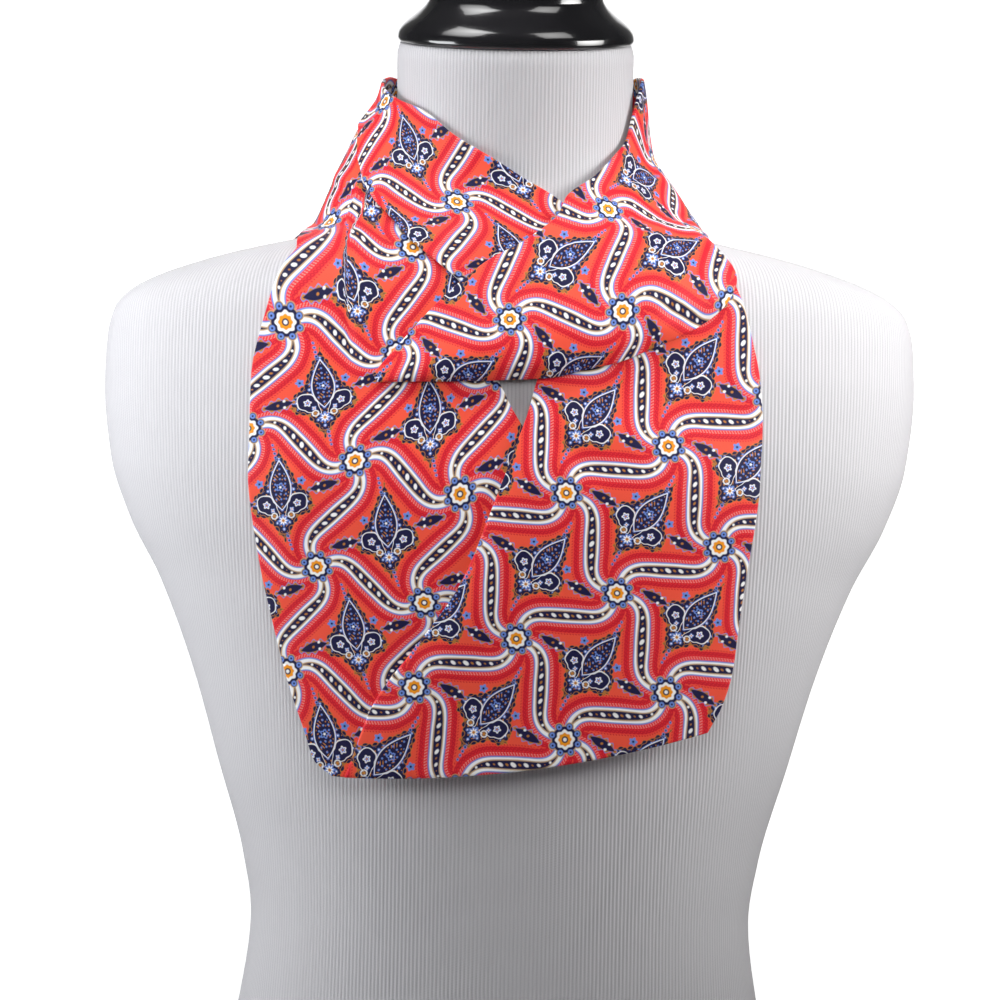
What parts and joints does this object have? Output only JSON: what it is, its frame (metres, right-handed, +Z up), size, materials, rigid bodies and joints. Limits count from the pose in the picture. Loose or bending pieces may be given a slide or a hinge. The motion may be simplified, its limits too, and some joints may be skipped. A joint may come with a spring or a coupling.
{
  "type": "infinity scarf on a dress form",
  "caption": "Endless printed scarf wound in an upper and a lower loop round the neck of a limbless dress form with a turned neck cap.",
  "frame": {"origin": "middle of the dress form's flat base, on the surface that it stands on", "axes": "+Z up the form to its neck, -Y the way its chest faces, +X to the right of a viewer who faces the chest"},
  "size_m": [0.42, 0.2441, 0.7165],
  "materials": {
    "knit_cover": "light grey ribbed knit",
    "black_lacquer": "turned wood, glossy black lacquer",
    "upper_left_print": "soft matt printed cloth",
    "upper_right_print": "soft matt printed cloth",
    "lower_left_print": "soft matt printed cloth",
    "lower_right_print": "soft matt printed cloth",
    "back_under_print": "soft matt printed cloth",
    "back_over_print": "soft matt printed cloth"
  },
  "bodies": {
    "root": {"form_torso": "knit_cover", "neck_cap": "black_lacquer", "upper_left_stretch": "upper_left_print", "upper_right_stretch": "upper_right_print", "lower_left_stretch": "lower_left_print", "lower_right_stretch": "lower_right_print", "back_under_stretch": "back_under_print", "back_over_stretch": "back_over_print"}
  },
  "joints": []
}
